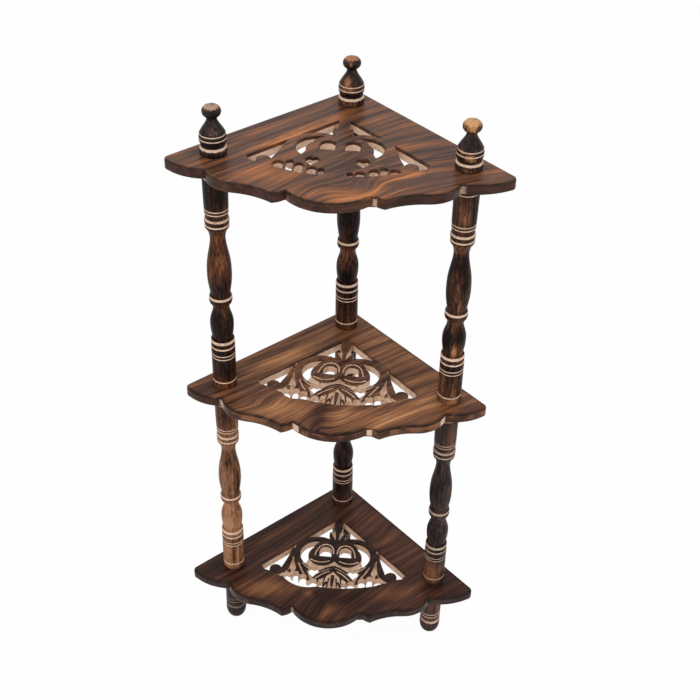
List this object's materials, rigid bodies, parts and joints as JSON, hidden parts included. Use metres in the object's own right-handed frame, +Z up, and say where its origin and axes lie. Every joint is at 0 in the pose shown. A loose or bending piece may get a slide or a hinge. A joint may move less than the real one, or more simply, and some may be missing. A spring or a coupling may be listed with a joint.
{
  "type": "corner shelf",
  "caption": "Free-standing corner shelf with scalloped, pierced and carved boards on turned posts, knock-down, held by hidden screws.",
  "frame": {"origin": "on the floor, under the centre of the shelf's plan rectangle", "axes": "+Z up, the scalloped front faces -Y, the square back corner points to +Y, and the posts stand symmetrically about the YZ plane"},
  "size_m": [0.3344, 0.236, 0.6991],
  "materials": {
    "carved_board": "scorched and waxed solid wood, dark brown with golden streaks, satin",
    "turned_post": "scorched and waxed turned wood, near black with brown patches and bare cut rings, satin",
    "stud_steel": "plain zinc-plated steel"
  },
  "bodies": {
    "root": {"shelf_bottom": "carved_board", "shelf_middle": "carved_board", "shelf_top": "carved_board", "foot_left": "turned_post", "foot_back": "turned_post", "foot_right": "turned_post", "lower_spindle_left": "turned_post", "lower_spindle_back": "turned_post", "lower_spindle_right": "turned_post", "upper_spindle_left": "turned_post", "upper_spindle_back": "turned_post", "upper_spindle_right": "turned_post", "finial_left": "turned_post", "finial_back": "turned_post", "finial_right": "turned_post", "bottom_stud_left": "stud_steel", "bottom_stud_back": "stud_steel", "bottom_stud_right": "stud_steel", "middle_stud_left": "stud_steel", "middle_stud_back": "stud_steel", "middle_stud_right": "stud_steel", "top_stud_left": "stud_steel", "top_stud_back": "stud_steel", "top_stud_right": "stud_steel"}
  },
  "joints": []
}
